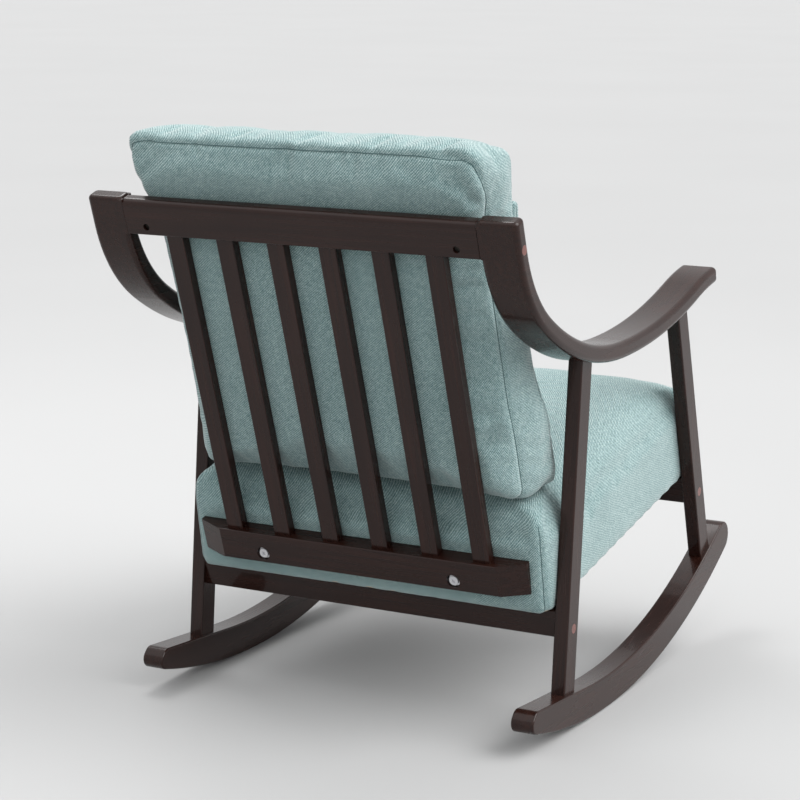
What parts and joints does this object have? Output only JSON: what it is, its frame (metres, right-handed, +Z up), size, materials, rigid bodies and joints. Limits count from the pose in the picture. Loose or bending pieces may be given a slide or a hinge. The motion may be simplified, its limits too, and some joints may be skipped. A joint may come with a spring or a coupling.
{
  "type": "rocking chair",
  "caption": "Rocking chair with bent arms running down from a slatted back, straight legs on long curved rockers, a boxed upholstered seat, a loose back cushion and a scatter cushion.",
  "frame": {"origin": "on the floor, under the middle of the chair's outline", "axes": "+Z up, the chair faces -Y, +X is the sitter's left"},
  "size_m": [0.674, 0.8519, 0.8612],
  "materials": {
    "dark_wood": "glossy dark stain",
    "plug_wood": "glossy red-brown stain",
    "plain_wood": "unfinished",
    "steel": "zinc plated",
    "webbing": "woven strap",
    "lining": "thin black cloth",
    "foam": "open foam",
    "upholstery": "matte blue-green twill"
  },
  "bodies": {
    "frame": {"arm_bolts": "steel", "arm_left": "dark_wood", "arm_right": "dark_wood", "bolt_plugs": "plug_wood", "front_leg_left": "dark_wood", "front_leg_right": "dark_wood", "front_stretcher": "dark_wood", "leg_dowels": "plain_wood", "lower_back_rail": "dark_wood", "rail_barrel_nuts": "steel", "rear_leg_left": "dark_wood", "rear_leg_right": "dark_wood", "rear_stretcher": "dark_wood", "rocker_left": "dark_wood", "rocker_right": "dark_wood", "seat_bolt_washers": "steel", "seat_bolts": "steel", "seat_corner_blocks": "plain_wood", "seat_cover": "upholstery", "seat_dust_cover": "lining", "seat_foam": "foam", "seat_rail_front": "plain_wood", "seat_rail_left": "plain_wood", "seat_rail_rear": "plain_wood", "seat_rail_right": "plain_wood", "seat_screws": "steel", "seat_t_nuts": "steel", "seat_webbing": "webbing", "slat_1": "dark_wood", "slat_2": "dark_wood", "slat_3": "dark_wood", "slat_4": "dark_wood", "slat_5": "dark_wood", "slat_6": "dark_wood", "stretcher_barrel_nuts": "steel", "stretcher_bolts": "steel", "top_rail": "dark_wood"},
    "back_cushion": {"back_cushion_core": "foam", "back_cushion_cover": "upholstery"},
    "throw_pillow": {"throw_pillow_core": "foam", "throw_pillow_cover": "upholstery"}
  },
  "joints": [
    {"name": "back_cushion_lift", "type": "slide", "parent": "frame", "child": "back_cushion", "axis": [0, 0.309, 0.9511], "range_m": [0, 0.25]},
    {"name": "throw_pillow_lift", "type": "slide", "parent": "frame", "child": "throw_pillow", "axis": [0, 0.309, 0.9511], "range_m": [0, 0.3]}
  ]
}
